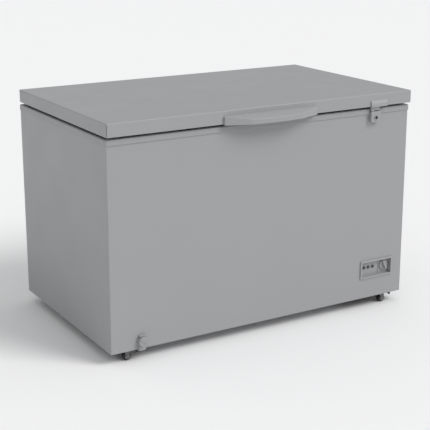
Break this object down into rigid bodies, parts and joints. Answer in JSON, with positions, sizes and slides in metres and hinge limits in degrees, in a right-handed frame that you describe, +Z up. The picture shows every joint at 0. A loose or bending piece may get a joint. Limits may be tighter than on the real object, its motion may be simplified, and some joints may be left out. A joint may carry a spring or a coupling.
{
  "type": "chest freezer",
  "caption": "Chest freezer: insulated steel cabinet on castors with a counterbalanced top lid, bow handle, lock, front control panel and drain.",
  "frame": {"origin": "on the floor, under the centre of the bounding box", "axes": "+X to the right end, +Y to the back (the lid's handle is at -Y), +Z up"},
  "size_m": [1.276, 0.84, 0.85],
  "materials": {
    "body_paint": "satin",
    "galvanised": "satin",
    "foam": "matte",
    "liner": "satin",
    "rim_plastic": "satin",
    "compressor_paint": "satin",
    "black_rubber": "matte",
    "black_plastic": "matte",
    "tube_aluminium": "satin",
    "tube_steel": "satin",
    "copper": "satin",
    "panel_plastic": "satin",
    "lamp_lens": "gloss",
    "switch_body": "matte",
    "grille_plastic": "matte",
    "rail_paint": "matte",
    "zinc": "satin",
    "castor_steel": "satin",
    "hinge_paint": "satin",
    "spring_steel": "satin",
    "lid_plastic": "satin",
    "gasket_rubber": "matte",
    "handle_plastic": "satin",
    "knob_plastic": "satin",
    "lock_metal": "satin",
    "basket_wire": "satin",
    "wheel_plastic": "matte"
  },
  "bodies": {
    "cabinet": {"cabinet_wrapper": "body_paint", "back_panel": "galvanised", "base_panel": "galvanised", "cabinet_foam": "foam", "inner_liner": "liner", "top_rim": "rim_plastic", "compressor": "compressor_paint", "compressor_grommets": "black_rubber", "terminal_box": "black_plastic", "compressor_tray": "galvanised", "evaporator_coil": "tube_aluminium", "condenser_coil": "tube_steel", "filter_drier": "copper", "capillary_tube": "copper", "suction_pipe": "copper", "discharge_pipe": "copper", "control_bezel": "panel_plastic", "power_lamp": "lamp_lens", "run_lamp": "lamp_lens", "alarm_lamp": "lamp_lens", "thermostat": "switch_body", "lock_housing": "panel_plastic", "drain_bezel": "panel_plastic", "drain_elbow": "panel_plastic", "side_grille": "grille_plastic", "cord_gland": "black_rubber", "base_rail_left": "rail_paint", "base_rail_right": "rail_paint", "castor_fork_front_left": "castor_steel", "castor_fork_front_right": "castor_steel", "castor_fork_rear_left": "castor_steel", "castor_fork_rear_right": "castor_steel", "castor_axles": "castor_steel", "hinge_base_left": "hinge_paint", "hinge_base_right": "hinge_paint", "hinge_pin_left": "zinc", "hinge_pin_right": "zinc", "hinge_spring_left": "spring_steel", "hinge_spring_right": "spring_steel", "cabinet_screws": "zinc"},
    "lid": {"lid_skin": "body_paint", "lid_foam": "foam", "lid_inner_panel": "lid_plastic", "lid_gasket": "gasket_rubber", "lid_handle": "handle_plastic", "lid_hasp": "panel_plastic", "lid_screws": "zinc", "hinge_leaf_left": "hinge_paint", "hinge_leaf_right": "hinge_paint"},
    "knob": {"thermostat_knob": "knob_plastic"},
    "lock": {"lock_cylinder": "lock_metal"},
    "drain_spout": {"drain_spout": "panel_plastic"},
    "drain_cap": {"drain_cap": "handle_plastic"},
    "drain_plug": {"drain_plug": "black_rubber"},
    "basket": {"basket_frame": "basket_wire", "basket_mesh": "basket_wire"},
    "wheel_front_left": {"castor_wheel_front_left": "wheel_plastic"},
    "wheel_front_right": {"castor_wheel_front_right": "wheel_plastic"},
    "wheel_rear_left": {"castor_wheel_rear_left": "wheel_plastic"},
    "wheel_rear_right": {"castor_wheel_rear_right": "wheel_plastic"}
  },
  "joints": [
    {"name": "lid_hinge", "type": "hinge", "parent": "cabinet", "child": "lid", "pos_m": [0, 0.412, 0.8], "axis": [-1, 0, 0], "range_deg": [0, 80], "stiffness_Nm_per_rad": 9.5, "springref_deg": 179.91},
    {"name": "thermostat_turn", "type": "hinge", "parent": "cabinet", "child": "knob", "pos_m": [0.555, -0.346, 0.162], "axis": [0, 1, 0], "range_deg": [0, 270]},
    {"name": "lock_turn", "type": "hinge", "parent": "cabinet", "child": "lock", "pos_m": [0.469, -0.375, 0.761], "axis": [0, 1, 0], "range_deg": [0, 90]},
    {"name": "drain_spout_pull", "type": "slide", "parent": "cabinet", "child": "drain_spout", "axis": [0, -1, 0], "range_m": [0, 0.02]},
    {"name": "drain_cap_turn", "type": "hinge", "parent": "drain_spout", "child": "drain_cap", "pos_m": [-0.517, -0.369, 0.073], "axis": [0, 1, 0], "range_deg": [0, 180]},
    {"name": "drain_plug_lift", "type": "slide", "parent": "cabinet", "child": "drain_plug", "axis": [0, 0, 1], "range_m": [0, 0.03]},
    {"name": "basket_slide", "type": "slide", "parent": "cabinet", "child": "basket", "axis": [-1, 0, 0], "range_m": [0, 0.84]},
    {"name": "wheel_front_left_roll", "type": "hinge", "parent": "cabinet", "child": "wheel_front_left", "pos_m": [-0.563, -0.326, 0.0145], "axis": [0, 1, 0], "continuous": true},
    {"name": "wheel_front_right_roll", "type": "hinge", "parent": "cabinet", "child": "wheel_front_right", "pos_m": [0.563, -0.326, 0.0145], "axis": [0, 1, 0], "continuous": true},
    {"name": "wheel_rear_left_roll", "type": "hinge", "parent": "cabinet", "child": "wheel_rear_left", "pos_m": [-0.563, 0.35, 0.0145], "axis": [0, 1, 0], "continuous": true},
    {"name": "wheel_rear_right_roll", "type": "hinge", "parent": "cabinet", "child": "wheel_rear_right", "pos_m": [0.563, 0.35, 0.0145], "axis": [0, 1, 0], "continuous": true}
  ]
}
